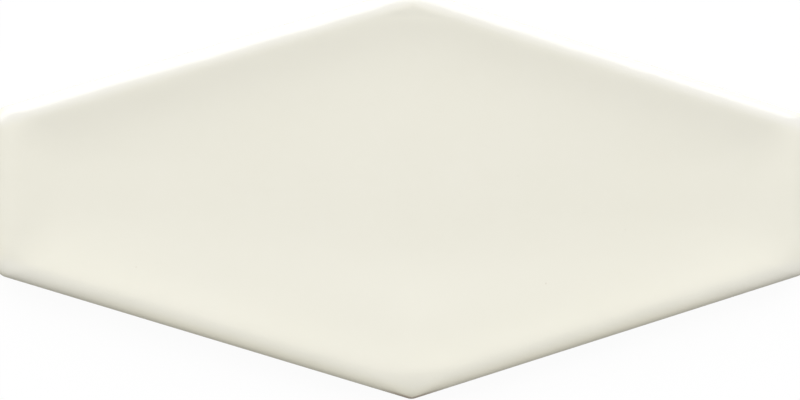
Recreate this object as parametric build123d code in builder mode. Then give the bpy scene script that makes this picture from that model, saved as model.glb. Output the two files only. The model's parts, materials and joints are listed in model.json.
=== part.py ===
"""Elongated hexagonal wall tile: one pressed, glazed and fired piece, lying on its keyed back."""

from build123d import *
from math import atan, ceil, cos, exp, pi, radians, sin, tan
import os

# Outline, in millimetres, between the sharp corners
length = 200.0  # from one short end side to the other, along X
width = 100.0  # from point to point, along Y
end_side = 39.0  # each short end side
corner_radius = 3.5  # rounds all six corners

# Thickness, from the back to the crest of the face
thickness = 8.5

# Rolled edge of the face, a quarter of an ellipse in section
roll_width = 4.0
roll_height = 1.6
crest_point_radius = 45.0  # the roll widens over the two points
crest_corner_radius = 7.0  # and a little over the four end corners

# Shallow dish of the face: a short lip inside the crest, and a broad fall to the middle
lip_depth = 0.3
lip_reach = 2.0  # where the lip is steepest, from the crest
dish_depth = 1.0
dish_reach = 5.0  # where the broad fall is steepest, from the crest
dish_width = 12.0  # how far the dish follows the edges, from the crest

# Side walls: an upright land under the roll, then a drafted wall down to the back
land_height = 1.5
wall_draft = 8.0  # degrees

# Keyed back: pockets between ribs, inside a plain border
rib_width = 2.5
pocket_size = 7.5
pocket_depth = 0.8
pocket_draft = 30.0  # degrees
back_border = 5.0
least_pocket = 0.3  # a pocket that the border cuts down to a smaller share is left out

# Sections that the face is lofted through
roll_steps = 5
dish_steps = 5
middle_steps = 3
middle_size = 0.1  # size of the innermost section, as a share of the last one along the edges

# Worked out from the sizes above
side_slope = atan((width - end_side) / length)
shoulder_height = thickness - roll_height
wall_height = shoulder_height - land_height
wall_inset = wall_height * tan(radians(wall_draft))
pocket_pitch = pocket_size + rib_width
pocket_columns = 2 * ceil(length / 2 / pocket_pitch)
pocket_rows = 2 * ceil(width / 2 / pocket_pitch)


def hexagon(inset):
    """Sharp corners of the outline, moved in from every side by the inset."""
    point_y = width / 2 - inset / cos(side_slope)
    corner_x = length / 2 - inset
    corner_y = point_y - corner_x * tan(side_slope)
    return [
        (corner_x, corner_y),
        (0, point_y),
        (-corner_x, corner_y),
        (-corner_x, -corner_y),
        (0, -point_y),
        (corner_x, -corner_y),
    ]


def fall(depth, reach, distance):
    """Part of the dish at a distance from the crest, steepest at the reach."""
    ratio = distance / reach
    return depth * (1 - exp(-ratio) * (1 + ratio))


def face_height(distance):
    """Height of the dished face at a distance inside the crest."""
    return thickness - fall(lip_depth, lip_reach, distance) - fall(dish_depth, dish_reach, distance)


def face_section(inset, height, share, size):
    """Rounded hexagon at a height of the face: the share is how far it is to the crest."""
    with BuildSketch(Plane.XY.offset(height)) as section:
        with BuildLine():
            Polyline(*[(x * size, y * size) for x, y in hexagon(inset)], close=True)
        make_face()
        point_radius = corner_radius + (crest_point_radius - corner_radius) * share
        fillet(section.vertices().group_by(Axis.X)[1], radius=size * point_radius)
        end_radius = corner_radius + (crest_corner_radius - corner_radius) * share
        columns = section.vertices().group_by(Axis.X)
        fillet(columns[0] + columns[-1], radius=size * end_radius)
    return section.sketch


def edge_sections():
    """Sections of the roll and of the dish along the edges, from the shoulder inwards."""
    for step in range(roll_steps + 1):
        turn = pi / 2 * step / roll_steps
        share = 1 - cos(turn)
        yield face_section(roll_width * share, shoulder_height + roll_height * sin(turn), share, 1)
    for step in range(1, dish_steps + 1):
        distance = dish_width * step / dish_steps
        yield face_section(roll_width + distance, face_height(distance), 1, 1)


def middle_sections():
    """Sections of the hollow in the middle of the face, from where the dish leaves the edges inwards."""
    for step in range(middle_steps + 1):
        size = 1 - (1 - middle_size) * step / middle_steps
        distance = dish_width + (width / 2 - roll_width - dish_width) * (1 - size)
        yield face_section(roll_width + dish_width, face_height(distance), 1, size)


with BuildPart() as wall_tile:
    # Drafted wall, from the land down to the back
    with BuildSketch(Plane.XY.offset(wall_height)) as outline:
        with BuildLine():
            Polyline(*hexagon(0), close=True)
        make_face()
        fillet(outline.vertices(), radius=corner_radius)
    extrude(amount=-wall_height, taper=wall_draft)

    # Upright land at the full outline
    extrude(outline.sketch, amount=land_height)

    # Rolled edge, crest and dish along the edges, in one loft through nested hexagons
    loft(list(edge_sections()))

    # Hollow that carries the dish on to the middle
    loft(list(middle_sections()), mode=Mode.SUBTRACT)

    # Key pockets pressed into the back, cut off along the border
    with BuildSketch(mode=Mode.PRIVATE) as pockets:
        with GridLocations(pocket_pitch, pocket_pitch, pocket_columns, pocket_rows):
            Rectangle(pocket_size, pocket_size)
        with BuildLine():
            Polyline(*hexagon(wall_inset + back_border), close=True)
        make_face(mode=Mode.INTERSECT)
    kept = pockets.faces().filter_by(lambda face: face.area > least_pocket * pocket_size**2)
    extrude(list(kept), amount=pocket_depth, taper=pocket_draft, mode=Mode.SUBTRACT)

wall_tile.part.label = "wall_tile"

os.makedirs("parts", exist_ok=True)
export_step(wall_tile.part, "parts/wall_tile.step")
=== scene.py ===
"""Glazed hexagonal wall tile with a keyed clay back, on a plain studio stage, in metres."""

import json
import math

import bmesh
import bpy
from bpy.props import FloatProperty, FloatVectorProperty, IntProperty, PointerProperty
from mathutils import Euler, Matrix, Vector


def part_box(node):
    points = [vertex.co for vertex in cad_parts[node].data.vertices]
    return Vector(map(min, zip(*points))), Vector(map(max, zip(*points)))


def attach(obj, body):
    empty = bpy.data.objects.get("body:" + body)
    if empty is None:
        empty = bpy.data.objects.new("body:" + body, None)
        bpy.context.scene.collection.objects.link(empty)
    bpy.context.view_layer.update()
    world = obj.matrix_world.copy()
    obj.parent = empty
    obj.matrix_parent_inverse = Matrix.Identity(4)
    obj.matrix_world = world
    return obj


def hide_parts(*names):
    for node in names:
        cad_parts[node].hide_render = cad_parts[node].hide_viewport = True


bl_info = {
    "name": "Hexagonal wall tile",
    "version": (1, 0, 0),
    "blender": (4, 5, 0),
    "location": "3D View > Sidebar > Wall tile",
    "description": "Makes a glazed wall tile with a keyed clay back, and a studio stage for it",
    "category": "Add Mesh",
}

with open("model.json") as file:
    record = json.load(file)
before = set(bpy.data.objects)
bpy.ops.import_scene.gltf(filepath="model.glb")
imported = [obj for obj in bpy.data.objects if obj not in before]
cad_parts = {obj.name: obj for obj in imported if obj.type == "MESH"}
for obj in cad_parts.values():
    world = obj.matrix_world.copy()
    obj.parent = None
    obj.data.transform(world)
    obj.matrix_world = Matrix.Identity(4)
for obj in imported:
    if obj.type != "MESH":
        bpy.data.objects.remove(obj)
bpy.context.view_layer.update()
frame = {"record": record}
HALF_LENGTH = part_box("wall_tile")[1].x
MOUNTS = {mount["name"]: mount for mount in frame["record"]["mounts"]}

# A slanted side, as the record gives it: the way it faces, how far out it lies, and its land
SIDE = MOUNTS["upper_right_side"]
SIDE_AXIS = Vector(SIDE["axis"])
SIDE_SLOPE = math.asin(SIDE_AXIS.x)
SIDE_REACH = SIDE_AXIS.dot(Vector(SIDE["pos_m"][:2] + [0.0]))
LAND_MIDDLE = SIDE["pos_m"][2]

MM = 0.001
WHITE = (1.0, 1.0, 1.0, 1.0)

# Steps of the mesh around the outline
CORNER_STEPS = 16
POINT_STEPS = 28
END_STEPS = 24
SIDE_STEPS = 64

# Steps of the mesh from the foot to the middle of the face
FOOT_STEPS = 3
WALL_HEIGHTS = (0.0016, 0.0030, 0.0043)
ROLL_STEPS = 14
DISH_STEPS = 20
DISH_CROWDING = 1.3  # draws the rings of the dish towards the crest
MIDDLE_STEPS = 18

# The pockets of the back
POCKET_CORNER_STEPS = 3
ROUNDEST_POCKET = 1 / 2.2  # the largest corner radius, as a share of the side
BELOW_BACK = 0.001  # how far the border stamp reaches out of the back

# Unevenness of the face: waves per metre, and how soon it sets in on the roll
BROAD_SCALE = 34.0
FINE_SCALE = 150.0
RIPPLE_SCALE = 110.0
RIPPLE_LEVEL = 0.45  # the level of the noise at which the ripple is neither high nor low
WAVE_DETAIL = 1.0
WAVES_ONSET = 1.6
RIPPLE_ONSET = 2.5

# Shading and testing of the finished mesh
SHARP_ANGLE = math.radians(32)
FLAT_HEIGHT = 0.01 * MM
LEAST_FACES = 1000

# Noise in the finishes: waves per metre, detail and roughness
CLOUDS = (26.0, 3.0, 0.55)
CURDLE = (240.0, 2.0, 0.6)
WAVER = (130.0, 2.0, 0.6)
PEEL = (420.0, 1.0, 0.5)
SWELL = (60.0, 2.0, 0.5)
SHEEN = (45.0, 3.0, 0.6)
BROAD_RUNS = (70.0, 2.0, 0.5)
FINE_RUNS = (420.0, 2.0, 0.6)
PATCHES = (38.0, 4.0, 0.6)
DUST = (900.0, 2.0, 0.7)
TOOTH = (1500.0, 3.0, 0.7)
NOISE_MIDDLE = 0.5

# Where the glaze changes, painted light and shade among it, each from its start to its end
UPPER_HALF = (-0.032, -0.002)  # along the width
LOWER_LIGHT_REACH = (0.008, 0.030)  # in from the sides, and so are the next three
THIN_EDGE = (-0.0004, 0.0034)
UPPER_RIM_HIGHLIGHT = (0.0015, 0.0055)
POINT_SHADE_EDGE = (0.0036, 0.0052)
POINT_SHADE_CREST = (-0.0016, 0.0002)  # out from the crest
POINT_SHADE_WIDTH = (0.002, 0.012)  # to both sides of the point, and so is the next
LOWER_TIP_WIDTH = (0.001, 0.009)
LOWER_TIP_EDGE = (0.0002, 0.0008)  # in from the sides
RIM_HIGHLIGHT_HEIGHT = (0.0072, 0.0080)  # up from the back, and so are the next two
LOWER_TIP_HEIGHT = (0.0065, 0.0070)
GLAZE_LINE = (0.0026, 0.0031)

# How far the noise moves those places
CLOUD_SHIFT = 0.01
EDGE_SHIFT = 0.0006
LOWER_TIP_SHIFT = 0.0004
BROAD_RUN = 0.0032
FINE_RUN = 0.0008

# Grains: cells per metre, where a grain ends in its cell, and the share of cells without one
SPECK_CELLS = 150.0
SPECK_SIZE, SPECK_RARITY = (0.015, 0.045), 0.93
PIT_SIZE, PIT_RARITY = (0.0, 0.05), 0.95
SAND_CELLS = 620.0
GROG_SIZE, GROG_RARITY = (0.12, 0.30), 0.8

# Levels of the noise between which patches and dust come up
PATCH_LEVELS = (0.35, 0.70)
DUST_LEVELS = (0.45, 0.75)

# How strongly each tint covers the colour under it
CLOUD_TINT, CURDLE_TINT = 0.7, 0.3
SPECK_TINT = 0.35
PATCH_TINT = 0.6
GROG_TINT = 0.55
DUST_TINT = 0.25

# Relief of the glaze and of the clay, and what it is made up of
GLAZE_RELIEF = {"Strength": 0.25, "Distance": 0.0004}
PEEL_SHARE, SWELL_SHARE, PIT_SHARE = 0.12, 0.5, 0.6
CLAY_RELIEF = {"Strength": 0.5, "Distance": 0.0003}
TOOTH_SHARE, GROG_SHARE, PATCH_SHARE = 0.5, 0.4, 0.2

# Gloss: how the roughness varies, and how strongly light bends
SHEEN_DEPTH = 0.08
EDGE_ROUGHNESS = 0.03
CLAY_ROUGHNESS = 0.86
DUST_ROUGHNESS = 0.08
GROG_SMOOTHNESS = 0.12
GLAZE_IOR = 1.5
CLAY_IOR = 1.4

# The stage: floor, lamps and camera
FLOOR_REACH = 3.0
FLOOR_GAP = 0.00005
LAMP_WIDTH = 3.2
KEY_DEPTH = 0.83
KEY_PLACE = (-0.15, 1.048, 1.907)
LOW_KEY_DEPTH = 1.49
LOW_KEY_PLACE = (-0.15, 1.855, 1.137)
SENSOR_WIDTH = 36.0
CLIP_START = 0.01


def size(name, description, millimetres):
    """A length that a user may change."""
    return FloatProperty(
        name=name, description=description, default=millimetres * MM, unit="LENGTH", precision=5
    )


def tint(name, description, colour):
    """A colour that a user may change, in linear light."""
    return FloatVectorProperty(
        name=name,
        description=description,
        default=colour,
        subtype="COLOR",
        size=3,
        min=0.0,
        max=1.0,
    )


def share(name, description, default):
    """A number from 0 to 1 that a user may change."""
    return FloatProperty(
        name=name, description=description, default=default, subtype="FACTOR", min=0.0, max=1.0
    )


def turn(name, description, degrees):
    """An angle that a user may change."""
    return FloatProperty(
        name=name, description=description, default=math.radians(degrees), subtype="ANGLE"
    )


def power(name, description, watts):
    """The power of a lamp, which a user may change."""
    return FloatProperty(name=name, description=description, default=watts, unit="POWER")


class TileSizes(bpy.types.PropertyGroup):
    """Sizes of the tile."""

    half_length: size("Half length", "From the middle to a short end side", HALF_LENGTH / MM)
    side_reach: size("Side reach", "From the middle square to a slanted side", SIDE_REACH / MM)
    thickness: size("Thickness", "From the back to the crest of the face", 8.5)
    corner_radius: size("Corner radius", "Rounding of the six corners of the outline", 3.5)
    roll_width: size("Roll width", "Width of the rolled edge of the face", 4.0)
    roll_height: size("Roll height", "Height of the rolled edge of the face", 1.6)
    crest_point_radius: size("Crest point radius", "Rounding of the crest over the points", 45.0)
    crest_corner_radius: size("Crest corner radius", "Rounding of the crest over the ends", 7.0)
    dish_width: size("Dish width", "How far the dish follows the edges, inside the crest", 12.0)
    lip_depth: size("Lip depth", "Part of the fall close to the crest", 0.3)
    lip_reach: size("Lip reach", "Where the lip is steepest, inside the crest", 2.0)
    dish_depth: size("Dish depth", "Part of the fall over the whole face", 1.0)
    dish_reach: size("Dish reach", "Where the dish is steepest, inside the crest", 5.0)
    land_height: size("Land height", "Height of the upright land under the roll", 1.5)
    wall_draft: turn("Wall draft", "Slope of the side walls under the land", 8.0)
    foot_round: size("Foot rounding", "Worn round where the walls meet the back", 0.45)
    broad_waves: size("Broad waves", "Depth of the broad unevenness of the face", 0.10)
    fine_waves: size("Fine waves", "Depth of the fine unevenness of the face and the roll", 0.05)
    ripple: size("Ripple", "Depth of the ripple along the roll", 0.2)
    seed: IntProperty(name="Seed", description="Changes the unevenness", default=7)


class BackSizes(bpy.types.PropertyGroup):
    """Sizes of the keyed back."""

    rib_width: size("Rib width", "Width of the ribs between the pockets", 2.5)
    pocket_size: size("Pocket size", "Side of a pocket at the back", 7.5)
    pocket_depth: size("Pocket depth", "Depth of a pocket", 0.8)
    pocket_draft: turn("Pocket draft", "Slope of the walls of a pocket", 30.0)
    pocket_corner: size("Pocket corner", "Rounding of the corners of a pocket", 0.9)
    pocket_lip: size("Pocket lip", "Worn round along the rim of a pocket", 0.22)
    back_border: size("Back border", "Plain border around the pockets", 5.0)
    least_pocket: share("Least pocket", "Pockets cut to a smaller share are left out", 0.3)


class FinishColours(bpy.types.PropertyGroup):
    """Colours of the glaze and of the clay, some of them painted light and shade."""

    glaze: tint("Glaze", "Ivory glaze", (0.808, 0.789, 0.700))
    glaze_thick: tint("Thick glaze", "Glaze where it lies thicker", (0.782, 0.763, 0.658))
    # Yellower thin glaze over the lower edges, partly painted warm shade, as it lies on the lower
    # edges only
    thin_glaze_and_shade: tint("Thin glaze and shade", "Glaze over the lower edges", (0.790, 0.757, 0.612))
    # Painted highlight: a whiter colour over the two upper edges
    painted_rim_highlight: tint("Painted rim highlight", "Painted highlight over the two upper edges", (0.804, 0.791, 0.742))
    # Painted shade: a darker colour inside the upper point
    painted_point_shade: tint("Painted point shade", "Glaze inside the upper point", (0.722, 0.705, 0.618))
    # Painted light: a paler colour in the lower half of the face
    painted_lower_light: tint("Painted lower light", "Glaze in the lower half of the face", (0.850, 0.830, 0.733))
    # A darker brown along the outer edge of the lower point
    dark_lower_tip: tint("Dark lower tip", "Edge of the glaze at the lower point", (0.420, 0.340, 0.250))
    glaze_speck: tint("Specks", "Small specks in the glaze", (0.560, 0.500, 0.390))
    clay: tint("Clay", "Fired clay of the back and the lower walls", (0.640, 0.520, 0.400))
    clay_dark: tint("Dark clay", "Darker patches of the clay", (0.500, 0.380, 0.270))
    clay_grog: tint("Grog", "Grains in the clay", (0.330, 0.230, 0.150))
    clay_dust: tint("Dust", "Pale dust on the clay", (0.800, 0.720, 0.610))
    gloss: share("Gloss roughness", "Roughness of the glaze", 0.13)


class StageSettings(bpy.types.PropertyGroup):
    """Floor, lamps and camera."""

    floor: tint("Floor", "Colour of the floor, as it lights the tile", (0.55, 0.55, 0.55))
    lift: share("Floor lift", "How much of the floor the camera sees as plain white", 0.95)
    ambient: share("Ambient light", "Even light from all round", 0.30)
    key: power("Key", "High lamp beyond the upper edges", 26.3)
    low_key: power("Low key", "Low lamp beyond the upper edges", 47.2)
    camera_place: FloatVectorProperty(
        name="Camera place",
        description="Where the camera is",
        default=(-0.12875, -0.01022, 0.7),
        subtype="XYZ",
    )
    camera_turn: FloatVectorProperty(
        name="Camera turn",
        description="How the camera is turned",
        default=tuple(math.radians(angle) for angle in (0.680, -10.294, 0.078)),
        subtype="EULER",
    )
    lens: FloatProperty(
        name="Lens", description="Focal length of the camera", default=130.90, unit="CAMERA"
    )


class Tree:
    """A node tree that is written step by step."""

    def __init__(self, tree):
        self.tree = tree

    def node(self, kind, settings=None, sockets=None):
        """Adds a node, sets its settings first, then the values or links of its sockets."""
        node = self.tree.nodes.new(kind)
        for key, setting in (settings or {}).items():
            setattr(node, key, setting)
        for key, value in (sockets or {}).items():
            given = value.socket if isinstance(value, Value) else value
            if isinstance(given, bpy.types.NodeSocket):
                self.tree.links.new(given, node.inputs[key])
            else:
                node.inputs[key].default_value = given
        return node

    def value(self, socket):
        """Wraps a socket, so that it can be used in sums."""
        return Value(self, socket)

    def parts(self, vector):
        """The three parts of a vector, as values."""
        split = self.node("ShaderNodeSeparateXYZ", None, {0: vector})
        return [self.value(part) for part in split.outputs]

    def smooth(self, value, low, high, curve="SMOOTHSTEP"):
        """Goes from 0 to 1 in a soft curve, while the value goes from low to high."""
        sockets = {"Value": value, "From Min": low, "From Max": high}
        mapped = self.node("ShaderNodeMapRange", {"interpolation_type": curve}, sockets)
        return self.value(mapped.outputs["Result"])

    def fade(self, value, low, high):
        """Goes from 1 to 0 in a soft curve, while the value goes from low to high."""
        return 1 - self.smooth(value, low, high)

    def even(self, value, low, high):
        """Goes from 0 to 1 in a straight line, while the value goes from low to high."""
        return self.smooth(value, low, high, "LINEAR")

    def least(self, one, other):
        """The smaller of a value and another one."""
        return one.math("MINIMUM", one, other)

    def blend(self, amount, one, other):
        """Mixes two colours."""
        sockets = {0: amount, 6: one, 7: other}
        return self.node("ShaderNodeMix", {"data_type": "RGBA"}, sockets).outputs[2]

    def noise(self, vector, scale, detail, roughness):
        """Noise from 0 to 1; the scale is in waves per metre."""
        sockets = {"Vector": vector, "Scale": scale, "Detail": detail, "Roughness": roughness}
        return self.value(self.node("ShaderNodeTexNoise", None, sockets).outputs[0])

    def swing(self, vector, scale, detail, roughness):
        """Noise around 0."""
        return self.noise(vector, scale, detail, roughness) - NOISE_MIDDLE

    def grains(self, vector, scale):
        """Scattered grains: how near each one is, and values by chance for each."""
        sockets = {"Vector": vector, "Scale": scale}
        cells = self.node("ShaderNodeTexVoronoi", {"feature": "F1"}, sockets).outputs
        split = self.node("ShaderNodeSeparateColor", None, {0: cells["Color"]})
        return self.value(cells["Distance"]), [self.value(chance) for chance in split.outputs]

    def coat(self, colour, roughness, bending, relief, height):
        """A finish with a colour, a roughness and a relief."""
        bump = self.node("ShaderNodeBump", None, {**relief, "Height": height})
        sockets = {"Base Color": colour, "Roughness": roughness, "IOR": bending}
        sockets["Normal"] = bump.outputs[0]
        return self.node("ShaderNodeBsdfPrincipled", None, sockets).outputs[0]


class Value:
    """A number in a node tree: sums and products of it add Math nodes."""

    def __init__(self, tree, socket):
        self.tree = tree
        self.socket = socket

    def math(self, operation, *values):
        """Adds a Math node that takes the values."""
        settings = {"operation": operation}
        node = self.tree.node("ShaderNodeMath", settings, dict(enumerate(values)))
        return Value(self.tree, node.outputs[0])

    def __add__(self, other):
        return self.math("ADD", self, other)

    def __radd__(self, other):
        return self.math("ADD", other, self)

    def __sub__(self, other):
        return self.math("SUBTRACT", self, other)

    def __rsub__(self, other):
        return self.math("SUBTRACT", other, self)

    def __mul__(self, other):
        return self.math("MULTIPLY", self, other)

    def __rmul__(self, other):
        return self.math("MULTIPLY", other, self)

    def __abs__(self):
        return self.math("ABSOLUTE", self)

    def __gt__(self, other):
        return self.math("GREATER_THAN", self, other)


def empty_tree(owner):
    """The node tree of a material or a world, with nothing in it yet."""
    owner.use_nodes = True
    owner.node_tree.nodes.clear()
    return Tree(owner.node_tree)


def solid(colour):
    """A colour with its alpha, for a socket."""
    return (*colour, 1.0)


def side_distances(across, up, sizes):
    """How far a point lies inside the end sides and inside the slanted sides."""
    from_end = sizes.half_length - abs(across)
    from_side = sizes.side_reach - (abs(across) * SIDE_AXIS.x + abs(up) * SIDE_AXIS.y)
    return from_end, from_side


class Spot:
    """The point of the tile that a shader colours."""

    def __init__(self, tree, sizes):
        self.place = tree.node("ShaderNodeTexCoord").outputs["Object"]
        self.across, self.up, self.height = tree.parts(self.place)
        from_end, self.from_side = side_distances(self.across, self.up, sizes)
        self.inside = tree.least(from_end, self.from_side)
        self.waver = tree.swing(self.place, *WAVER)
        self.edge = tree.fade(self.inside + self.waver * EDGE_SHIFT, *THIN_EDGE)


def glaze_colour(tree, spot, sizes, colours):
    """Clouded ivory with painted light and shade: whiter over the upper edges, darker inside the
    upper point, paler in the lower half, warmer over the lower edges; darker brown at the lower
    point.
    """
    clouds = tree.noise(spot.place, *CLOUDS)
    curdle = tree.noise(spot.place, *CURDLE)
    mottle = clouds * CLOUD_TINT + curdle * CURDLE_TINT
    colour = tree.blend(mottle, solid(colours.glaze), solid(colours.glaze_thick))

    # Lower half: painted light, paler in the middle; over the edges a yellower thin glaze, partly
    # painted warm shade
    upper = tree.smooth(spot.up, *UPPER_HALF)
    lower = 1 - upper
    reach = spot.inside + (clouds - NOISE_MIDDLE) * CLOUD_SHIFT
    colour = tree.blend(lower * tree.smooth(reach, *LOWER_LIGHT_REACH), colour, solid(colours.painted_lower_light))
    # Painted warm shade and thin glaze, over the lower edges only
    colour = tree.blend(spot.edge * lower, colour, solid(colours.thin_glaze_and_shade))

    # Upper half: a painted highlight, whiter over the edges
    rim = upper * tree.fade(spot.from_side + spot.waver * EDGE_SHIFT, *UPPER_RIM_HIGHLIGHT)
    rim = rim * tree.smooth(spot.height, *RIM_HIGHLIGHT_HEIGHT)
    colour = tree.blend(rim, colour, solid(colours.painted_rim_highlight))

    # Painted shade: darker inside the upper point, around the arc of the crest
    crest = sizes.crest_point_radius
    ahead = spot.up - (sizes.side_reach - sizes.roll_width - crest) / SIDE_AXIS.y
    squares = [(crest + beyond) ** 2 for beyond in POINT_SHADE_CREST]
    point_shade = tree.smooth(spot.across * spot.across + ahead * ahead, *squares)
    point_shade = point_shade * tree.smooth(spot.from_side, *POINT_SHADE_EDGE)
    point_shade = point_shade * tree.fade(abs(spot.across), *POINT_SHADE_WIDTH)
    colour = tree.blend(point_shade * upper, colour, solid(colours.painted_point_shade))

    # Darker brown along the outer edge of the lower point
    worn = tree.fade(abs(spot.across), *LOWER_TIP_WIDTH)
    worn = worn * tree.fade(spot.inside + spot.waver * LOWER_TIP_SHIFT, *LOWER_TIP_EDGE)
    worn = worn * lower * tree.smooth(spot.height + spot.waver * EDGE_SHIFT, *LOWER_TIP_HEIGHT)
    return tree.blend(worn, colour, solid(colours.dark_lower_tip))


def glaze_coat(tree, spot, sizes, colours):
    """Glossy glaze with a few specks and pits."""
    colour = glaze_colour(tree, spot, sizes, colours)
    near, chances = tree.grains(spot.place, SPECK_CELLS)
    specks = tree.fade(near, *SPECK_SIZE) * (chances[0] > SPECK_RARITY)
    colour = tree.blend(specks * SPECK_TINT, colour, solid(colours.glaze_speck))
    pits = tree.fade(near, *PIT_SIZE) * (chances[1] > PIT_RARITY)
    peel = tree.noise(spot.place, *PEEL)
    swell = tree.noise(spot.place, *SWELL)
    height = peel * PEEL_SHARE + swell * SWELL_SHARE - pits * PIT_SHARE
    sheen = tree.swing(spot.place, *SHEEN)
    gloss = colours.gloss + sheen * SHEEN_DEPTH + spot.edge * EDGE_ROUGHNESS
    return tree.coat(colour, gloss, GLAZE_IOR, GLAZE_RELIEF, height)


def clay_coat(tree, spot, colours):
    """Bare clay with darker patches, grog and dust."""
    patches = tree.smooth(tree.noise(spot.place, *PATCHES), *PATCH_LEVELS)
    colour = tree.blend(patches * PATCH_TINT, solid(colours.clay), solid(colours.clay_dark))
    near, chances = tree.grains(spot.place, SAND_CELLS)
    grog = tree.fade(near, *GROG_SIZE) * (chances[0] > GROG_RARITY)
    colour = tree.blend(grog * GROG_TINT, colour, solid(colours.clay_grog))
    dust = tree.smooth(tree.noise(spot.place, *DUST), *DUST_LEVELS)
    colour = tree.blend(dust * DUST_TINT, colour, solid(colours.clay_dust))
    tooth = tree.noise(spot.place, *TOOTH)
    height = tooth * TOOTH_SHARE + grog * GROG_SHARE + patches * PATCH_SHARE
    roughness = CLAY_ROUGHNESS + dust * DUST_ROUGHNESS - grog * GROG_SMOOTHNESS
    return tree.coat(colour, roughness, CLAY_IOR, CLAY_RELIEF, height)


def glazed_clay(sizes, colours):
    """Glaze over the face and down the walls to a wavering line, bare clay below it."""
    material = bpy.data.materials.new("glazed_clay")
    tree = empty_tree(material)
    spot = Spot(tree, sizes)
    glaze = glaze_coat(tree, spot, sizes, colours)
    clay = clay_coat(tree, spot, colours)
    runs = tree.swing(spot.place, *BROAD_RUNS) * BROAD_RUN
    runs = runs + tree.swing(spot.place, *FINE_RUNS) * FINE_RUN
    glazed = tree.smooth(spot.height + runs, *GLAZE_LINE)
    cover = tree.node("ShaderNodeMixShader", None, {0: glazed, 1: clay, 2: glaze})
    tree.node("ShaderNodeOutputMaterial", None, {"Surface": cover.outputs[0]})
    return material


def rounded_hexagon(sizes, inset, point_radius, corner_radius):
    """Points around the outline moved in by the inset, with its corners rounded."""
    corner_x = sizes.half_length - inset
    point_y = (sizes.side_reach - inset) / math.cos(SIDE_SLOPE)
    corner_y = point_y - corner_x * math.tan(SIDE_SLOPE)
    # How far the outline turns, the radius and the steps
    end = (math.pi / 2 - SIDE_SLOPE, corner_radius, CORNER_STEPS)
    point = (2 * SIDE_SLOPE, point_radius, POINT_STEPS)
    # Each corner: its place, the way the outline runs before it, its round, and the steps before it
    corners = [
        ((corner_x, corner_y), math.pi / 2, end, END_STEPS),
        ((0.0, point_y), math.pi - SIDE_SLOPE, point, SIDE_STEPS),
        ((-corner_x, corner_y), math.pi + SIDE_SLOPE, end, SIDE_STEPS),
        ((-corner_x, -corner_y), 3 * math.pi / 2, end, END_STEPS),
        ((0.0, -point_y), -SIDE_SLOPE, point, SIDE_STEPS),
        ((corner_x, -corner_y), SIDE_SLOPE, end, SIDE_STEPS),
    ]
    arcs = []
    for place, heading, (turned, radius, steps), _ in corners:
        ahead = Vector((math.cos(heading), math.sin(heading)))
        left = Vector((-ahead.y, ahead.x))
        middle = Vector(place) - ahead * (radius * math.tan(turned / 2)) + left * radius
        arc = []
        for step in range(steps + 1):
            angle = heading - math.pi / 2 + turned * step / steps
            arc.append(middle + Vector((math.cos(angle), math.sin(angle))) * radius)
        arcs.append(arc)
    points = []
    for index, arc in enumerate(arcs):
        before = arcs[index - 1][-1]
        steps = corners[index][-1]
        points += [before.lerp(arc[0], step / steps) for step in range(1, steps)]
        points += arc
    return points


def face_fall(sizes, beyond):
    """How far the face lies under the crest, at a distance inside it."""
    lip = beyond / sizes.lip_reach
    dish = beyond / sizes.dish_reach
    lip_fall = sizes.lip_depth * (1 - math.exp(-lip) * (1 + lip))
    return lip_fall + sizes.dish_depth * (1 - math.exp(-dish) * (1 + dish))


def tile_rings(sizes):
    """Rings from the back to the middle of the face, each with its shares of waves and ripple."""
    shoulder = sizes.thickness - sizes.roll_height
    wall_top = shoulder - sizes.land_height
    lean = math.tan(sizes.wall_draft)
    foot = sizes.foot_round
    rings = []

    def ring(inset, height, to_crest=0.0, waves=0.0, ripple=0.0):
        """Adds a ring; its corners widen on the way to the crest."""
        sharp = sizes.corner_radius
        point_radius = sharp + (sizes.crest_point_radius - sharp) * to_crest
        corner_radius = sharp + (sizes.crest_corner_radius - sharp) * to_crest
        outline = rounded_hexagon(sizes, inset, point_radius, corner_radius)
        rings.append(([Vector((*point, height)) for point in outline], waves, ripple))

    # Foot, drafted wall and land
    for step in range(FOOT_STEPS + 1):
        angle = math.pi / 2 * step / FOOT_STEPS
        height = foot * (1 - math.cos(angle))
        ring((wall_top - height) * lean + foot * (1 - math.sin(angle)), height)
    for height in WALL_HEIGHTS:
        ring((wall_top - height) * lean, height)
    ring(0.0, wall_top)
    ring(0.0, LAND_MIDDLE)

    # Roll, up to the crest
    for step in range(ROLL_STEPS + 1):
        angle = math.pi / 2 * step / ROLL_STEPS
        to_crest = 1 - math.cos(angle)
        height = shoulder + sizes.roll_height * math.sin(angle)
        waves = min(1.0, WAVES_ONSET * to_crest)
        ripple = min(1.0, RIPPLE_ONSET * to_crest)
        ring(sizes.roll_width * to_crest, height, to_crest, waves, ripple)

    # Dish, along the edges and then in to the middle
    for step in range(1, DISH_STEPS + 1):
        beyond = sizes.dish_width * (step / DISH_STEPS) ** DISH_CROWDING
        ripple = max(0.0, 1 - beyond / sizes.dish_reach)
        height = sizes.thickness - face_fall(sizes, beyond)
        ring(sizes.roll_width + beyond, height, 1.0, 1.0, ripple)
    last = rings[-1][0]
    inner = sizes.side_reach - sizes.roll_width - sizes.dish_width
    for step in range(1, MIDDLE_STEPS):
        scale = 1 - step / MIDDLE_STEPS
        height = sizes.thickness - face_fall(sizes, sizes.dish_width + inner * (1 - scale))
        points = [Vector((point.x * scale, point.y * scale, height)) for point in last]
        rings.append((points, 1.0, 0.0))
    height = sizes.thickness - face_fall(sizes, sizes.dish_width + inner)
    return rings, Vector((0.0, 0.0, height))


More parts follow.
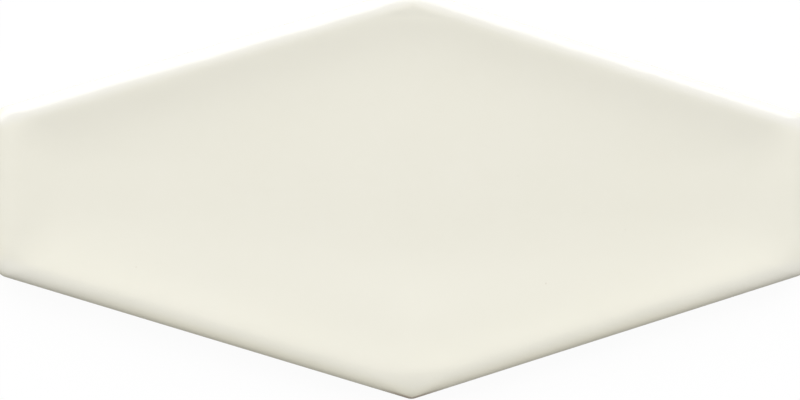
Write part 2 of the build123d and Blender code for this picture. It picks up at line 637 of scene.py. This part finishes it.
def join_loops(shape, loops):
    """Walls between loops that have the same number of points."""
    count = len(loops[0])
    for lower, upper in zip(loops, loops[1:]):
        for index in range(count):
            after = (index + 1) % count
            shape.faces.new((lower[index], lower[after], upper[after], upper[index]))


def made_mesh(name, shape):
    """A mesh of a shape, which is then done with."""
    mesh = bpy.data.meshes.new(name)
    shape.to_mesh(mesh)
    shape.free()
    return mesh


def tile_blank(sizes):
    """The tile with an even face and a plain back, as one closed mesh."""
    rings, middle = tile_rings(sizes)
    shape = bmesh.new()
    for name in ("waves", "ripple"):
        shape.verts.layers.float.new(name)
    waves_layer = shape.verts.layers.float["waves"]
    ripple_layer = shape.verts.layers.float["ripple"]
    loops = []
    for points, waves, ripple in rings:
        loop = [shape.verts.new(point) for point in points]
        for vertex in loop:
            vertex[waves_layer] = waves
            vertex[ripple_layer] = ripple
        loops.append(loop)
    shape.faces.new(list(reversed(loops[0])))
    join_loops(shape, loops)
    top = shape.verts.new(middle)
    top[waves_layer] = 1.0
    last = loops[-1]
    for index, vertex in enumerate(last):
        shape.faces.new((vertex, last[(index + 1) % len(last)], top))
    return made_mesh("wall_tile_blank", shape)


def stacked_rings(name, rings):
    """A closed mesh through rings that have the same number of points, from the lowest up."""
    shape = bmesh.new()
    loops = [[shape.verts.new(point) for point in ring] for ring in rings]
    shape.faces.new(list(reversed(loops[0])))
    shape.faces.new(loops[-1])
    join_loops(shape, loops)
    return made_mesh(name, shape)


def rounded_square(side, radius, height):
    """Points around a square with rounded corners."""
    points = []
    reach = side / 2 - radius
    for corner, (sign_x, sign_y) in enumerate(((1, 1), (-1, 1), (-1, -1), (1, -1))):
        for step in range(POCKET_CORNER_STEPS + 1):
            angle = math.pi / 2 * (corner + step / POCKET_CORNER_STEPS)
            x = sign_x * reach + radius * math.cos(angle)
            y = sign_y * reach + radius * math.sin(angle)
            points.append(Vector((x, y, height)))
    return points


def pocket_stamp(back):
    """The stamp of one pocket: worn lip, drafted walls and a rounded floor."""
    lean = math.tan(back.pocket_draft)
    lip = back.pocket_lip
    # Height of each ring, and how much wider it is than the drafted walls
    profile = (
        (-0.5 * lip, 2.2 * lip),
        (0.0, 1.0 * lip),
        (0.35 * lip, 0.45 * lip),
        (1.3 * lip, 0.0),
        (back.pocket_depth - lip, 0.0),
        (back.pocket_depth, -lip),
    )
    rings = []
    for height, wider in profile:
        side = back.pocket_size - 2 * lean * height + 2 * wider
        radius = min(back.pocket_corner + wider, side * ROUNDEST_POCKET)
        rings.append(rounded_square(side, radius, height))
    return stacked_rings("pocket_stamp", rings)


def border_inset(sizes, back):
    """How far the field of pockets lies inside the outline."""
    wall_top = sizes.thickness - sizes.roll_height - sizes.land_height
    return wall_top * math.tan(sizes.wall_draft) + back.back_border


def border_stamp(sizes, back):
    """The stamp that the pockets stay inside, with the same draft as their walls."""
    rings = []
    for height in (-BELOW_BACK, 2 * back.pocket_depth):
        inset = border_inset(sizes, back) + height * math.tan(back.pocket_draft)
        outline = rounded_hexagon(sizes, inset, back.pocket_corner, back.pocket_corner)
        rings.append([Vector((*point, height)) for point in outline])
    return stacked_rings("border_stamp", rings)


def tile_tree(name, inputs):
    """An empty geometry tree that takes a tile and named inputs, and gives a tile."""
    group = bpy.data.node_groups.new(name, "GeometryNodeTree")
    for label, kind in {"Tile": "Geometry", **inputs}.items():
        group.interface.new_socket(name=label, in_out="INPUT", socket_type="NodeSocket" + kind)
    group.interface.new_socket(name="Tile", in_out="OUTPUT", socket_type="NodeSocketGeometry")
    return group


def close_tree(tree, shape, finish):
    """Ends a geometry tree with one real mesh in its finish."""
    whole = tree.node("GeometryNodeRealizeInstances", None, {0: shape})
    sockets = {"Geometry": whole.outputs[0], "Material": finish}
    dressed = tree.node("GeometryNodeSetMaterial", None, sockets)
    tree.node("NodeGroupOutput", None, {0: dressed.outputs[0]})


def uneven_face_tree():
    """Geometry nodes that make the face and the roll of a tile gently uneven."""
    inputs = {
        "Broad depth": "Float",
        "Fine depth": "Float",
        "Ripple depth": "Float",
        "Seed": "Float",
        "Finish": "Material",
    }
    group = tile_tree("uneven_face", inputs)
    tree = Tree(group)
    given = tree.node("NodeGroupInput").outputs
    place = tree.node("GeometryNodeInputPosition").outputs[0]

    def noise(scale):
        sockets = {"Vector": place, "W": given["Seed"], "Scale": scale, "Detail": WAVE_DETAIL}
        node = tree.node("ShaderNodeTexNoise", {"noise_dimensions": "4D"}, sockets)
        return tree.value(node.outputs[0])

    def attribute(name):
        node = tree.node("GeometryNodeInputNamedAttribute", {"data_type": "FLOAT"}, {"Name": name})
        return tree.value(node.outputs[0])

    waves = noise(BROAD_SCALE) * tree.value(given["Broad depth"])
    waves = waves + noise(FINE_SCALE) * tree.value(given["Fine depth"])
    ripple = (noise(RIPPLE_SCALE) - RIPPLE_LEVEL) * tree.value(given["Ripple depth"])
    drop = waves * attribute("waves") + ripple * attribute("ripple")
    offset = tree.node("ShaderNodeCombineXYZ", None, {2: 0 - drop})
    sockets = {"Geometry": given["Tile"], "Offset": offset.outputs[0]}
    moved = tree.node("GeometryNodeSetPosition", None, sockets)
    close_tree(tree, moved.outputs[0], given["Finish"])
    return group


def keyed_back_tree(sizes, border):
    """Geometry nodes that press a grid of pockets into the back of a tile."""
    inputs = {
        "Pitch": "Float",
        "Columns": "Int",
        "Rows": "Int",
        "Half pocket": "Float",
        "Least share": "Float",
        "Pocket stamp": "Object",
        "Border stamp": "Object",
        "Finish": "Material",
    }
    group = tile_tree("keyed_back", inputs)
    tree = Tree(group)
    given = tree.node("NodeGroupInput").outputs

    # Middles of the pockets, without those that the border cuts down too far
    pitch = tree.value(given["Pitch"])
    sockets = {
        "Size X": pitch * (tree.value(given["Columns"]) - 1),
        "Size Y": pitch * (tree.value(given["Rows"]) - 1),
        "Vertices X": given["Columns"],
        "Vertices Y": given["Rows"],
    }
    grid = tree.node("GeometryNodeMeshGrid", None, sockets)
    across, up, _ = tree.parts(tree.node("GeometryNodeInputPosition").outputs[0])
    half = tree.value(given["Half pocket"])
    left_over = 1.0
    for distance in side_distances(across, up, sizes):
        left_over = tree.even(distance, border - half, border + half) * left_over
    cut_down = tree.value(given["Least share"]) > left_over
    sockets = {"Geometry": grid.outputs["Mesh"], "Selection": cut_down}
    kept = tree.node("GeometryNodeDeleteGeometry", None, sockets)

    # Stamps, kept inside the border and pressed into the tile
    pocket = tree.node("GeometryNodeObjectInfo", None, {"Object": given["Pocket stamp"]})
    limit = tree.node("GeometryNodeObjectInfo", None, {"Object": given["Border stamp"]})
    sockets = {"Points": kept.outputs[0], "Instance": pocket.outputs["Geometry"]}
    stamps = tree.node("GeometryNodeInstanceOnPoints", None, sockets)
    loose = tree.node("GeometryNodeRealizeInstances", None, {0: stamps.outputs[0]})
    settings = {"operation": "INTERSECT", "solver": "EXACT"}
    clipped = tree.node("GeometryNodeMeshBoolean", settings, {"Mesh 2": loose.outputs[0]})
    group.links.new(limit.outputs["Geometry"], clipped.inputs["Mesh 2"])
    settings = {"operation": "DIFFERENCE", "solver": "EXACT"}
    sockets = {"Mesh 1": given["Tile"], "Mesh 2": clipped.outputs["Mesh"]}
    pressed = tree.node("GeometryNodeMeshBoolean", settings, sockets)
    close_tree(tree, pressed.outputs["Mesh"], given["Finish"])
    return group


def add_tree(piece, group, values):
    """Puts a geometry tree on a piece and sets its named inputs."""
    modifier = piece.modifiers.new(group.name, "NODES")
    modifier.node_group = group
    for socket in group.interface.items_tree:
        if socket.name in values:
            modifier[socket.identifier] = values[socket.name]


def linked(name, data):
    """A new object in the scene."""
    piece = bpy.data.objects.new(name, data)
    bpy.context.scene.collection.objects.link(piece)
    return piece


def keep_back_flat(mesh):
    """Keeps the smooth shading of the pockets and the foot off the flat of the back."""
    shape = bmesh.new()
    shape.from_mesh(mesh)
    flat = {
        face for face in shape.faces if all(vertex.co.z < FLAT_HEIGHT for vertex in face.verts)
    }
    for edge in shape.edges:
        if len(flat.intersection(edge.link_faces)) == 1:
            edge.smooth = False
    shape.to_mesh(mesh)
    shape.free()


class MakeTile(bpy.types.Operator):
    """Makes the glazed tile with its keyed back"""

    bl_idname = "wall_tile.make_tile"
    bl_label = "Make the tile"

    def execute(self, context):
        sizes = context.scene.tile_sizes
        back = context.scene.tile_back
        finish = glazed_clay(sizes, context.scene.tile_colours)
        tile = linked("tile", tile_blank(sizes))
        pocket = linked("pocket_stamp", pocket_stamp(back))
        limit = linked("border_stamp", border_stamp(sizes, back))
        values = {
            "Broad depth": sizes.broad_waves,
            "Fine depth": sizes.fine_waves,
            "Ripple depth": sizes.ripple,
            "Seed": float(sizes.seed),
            "Finish": finish,
        }
        add_tree(tile, uneven_face_tree(), values)
        pitch = back.pocket_size + back.rib_width
        values = {
            "Pitch": pitch,
            "Columns": 2 * math.ceil(sizes.half_length / pitch),
            "Rows": 2 * math.ceil(sizes.side_reach / math.cos(SIDE_SLOPE) / pitch),
            "Half pocket": back.pocket_size / 2,
            "Least share": back.least_pocket,
            "Pocket stamp": pocket,
            "Border stamp": limit,
            "Finish": finish,
        }
        add_tree(tile, keyed_back_tree(sizes, border_inset(sizes, back)), values)

        # A plain mesh takes the place of the blank, its trees and the stamps
        graph = context.evaluated_depsgraph_get()
        mesh = bpy.data.meshes.new_from_object(tile.evaluated_get(graph))
        if len(mesh.polygons) < LEAST_FACES:
            raise RuntimeError("the tile came out empty")
        tile.modifiers.clear()
        tile.data = mesh
        mesh.name = "tile"
        for stamp in (pocket, limit):
            bpy.data.objects.remove(stamp)
        mesh.shade_smooth()
        mesh.set_sharp_from_angle(angle=SHARP_ANGLE)
        keep_back_flat(mesh)
        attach(tile, "root")
        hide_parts("wall_tile")
        return {"FINISHED"}


def white_to_camera(tree):
    """1 for rays from the camera, and for what gloss and glass show of the stage."""
    path = tree.node("ShaderNodeLightPath").outputs
    seen = tree.value(path["Is Camera Ray"])
    seen = seen + tree.value(path["Is Glossy Ray"]) + tree.value(path["Is Transmission Ray"])
    return tree.least(seen, 1.0)


def floor_finish(stage):
    """A grey floor that is white to the camera, but for the shadow of the tile."""
    material = bpy.data.materials.new("stage_floor")
    tree = empty_tree(material)
    seen = white_to_camera(tree)
    shade = tree.blend(seen, solid(stage.floor), WHITE)
    matte = tree.node("ShaderNodeBsdfDiffuse", None, {"Color": shade})
    glow = tree.node("ShaderNodeEmission", None, {"Color": WHITE, "Strength": 1.0})
    sockets = {0: seen * stage.lift, 1: matte.outputs[0], 2: glow.outputs[0]}
    mixed = tree.node("ShaderNodeMixShader", None, sockets)
    tree.node("ShaderNodeOutputMaterial", None, {"Surface": mixed.outputs[0]})
    return material


def studio_world(stage):
    """A world that is white to the camera, and gives the tile a little even light."""
    world = bpy.data.worlds.new("studio")
    tree = empty_tree(world)
    strength = white_to_camera(tree) * (1 - stage.ambient) + stage.ambient
    glow = tree.node("ShaderNodeBackground", None, {"Color": WHITE, "Strength": strength})
    tree.node("ShaderNodeOutputWorld", None, {"Surface": glow.outputs[0]})
    return world


def lamp(name, watts, depth, place):
    """A wide soft lamp that looks at the tile."""
    data = bpy.data.lights.new(name, "AREA")
    data.shape = "RECTANGLE"
    data.size = LAMP_WIDTH
    data.size_y = depth
    data.energy = watts
    piece = linked(name, data)
    piece.location = place
    piece.rotation_euler = Vector(place).to_track_quat("Z", "Y").to_euler()
    return piece


class MakeStage(bpy.types.Operator):
    """Makes the floor, the lamps and the camera"""

    bl_idname = "wall_tile.make_stage"
    bl_label = "Make the stage"

    def execute(self, context):
        scene = context.scene
        stage = scene.tile_stage

        # Floor, just under the tile
        shape = bmesh.new()
        bmesh.ops.create_grid(shape, x_segments=1, y_segments=1, size=FLOOR_REACH)
        bmesh.ops.translate(shape, verts=shape.verts, vec=(0.0, 0.0, -FLOOR_GAP))
        mesh = made_mesh("floor", shape)
        mesh.materials.append(floor_finish(stage))
        floor = linked("floor", mesh)

        # Two lamps beyond the upper edges, one over the other; the gloss shows only the high one
        scene.world = studio_world(stage)
        lamp("key_lamp", stage.key, KEY_DEPTH, KEY_PLACE)
        low_key = lamp("low_key_lamp", stage.low_key, LOW_KEY_DEPTH, LOW_KEY_PLACE)
        low_key.visible_glossy = False

        camera = linked("camera", bpy.data.cameras.new("camera"))
        camera.location = stage.camera_place
        camera.rotation_euler = Euler(stage.camera_turn, "XYZ")
        camera.data.lens = stage.lens
        camera.data.sensor_width = SENSOR_WIDTH
        camera.data.sensor_fit = "HORIZONTAL"
        camera.data.clip_start = CLIP_START
        scene.camera = camera
        scene.view_settings.view_transform = "Standard"
        return {"FINISHED"}


class TilePanel(bpy.types.Panel):
    """Lists the sizes and the steps of the tile"""

    bl_idname = "VIEW3D_PT_wall_tile"
    bl_label = "Wall tile"
    bl_space_type = "VIEW_3D"
    bl_region_type = "UI"
    bl_category = "Wall tile"

    def draw(self, context):
        for operator in (MakeTile, MakeStage):
            self.layout.operator(operator.bl_idname)
        for name in GROUPS:
            group = getattr(context.scene, name)
            box = self.layout.box()
            for key in group.bl_rna.properties.keys():
                if key not in {"rna_type", "name"}:
                    box.prop(group, key)


GROUPS = {
    "tile_sizes": TileSizes,
    "tile_back": BackSizes,
    "tile_colours": FinishColours,
    "tile_stage": StageSettings,
}
CLASSES = (*GROUPS.values(), MakeTile, MakeStage, TilePanel)


def register():
    for cls in CLASSES:
        bpy.utils.register_class(cls)
    for name, group in GROUPS.items():
        setattr(bpy.types.Scene, name, PointerProperty(type=group))


def unregister():
    for name in GROUPS:
        delattr(bpy.types.Scene, name)
    for cls in reversed(CLASSES):
        bpy.utils.unregister_class(cls)


def main():
    register()
    bpy.ops.wall_tile.make_stage()
    bpy.ops.wall_tile.make_tile()


if __name__ == "__main__":
    main()
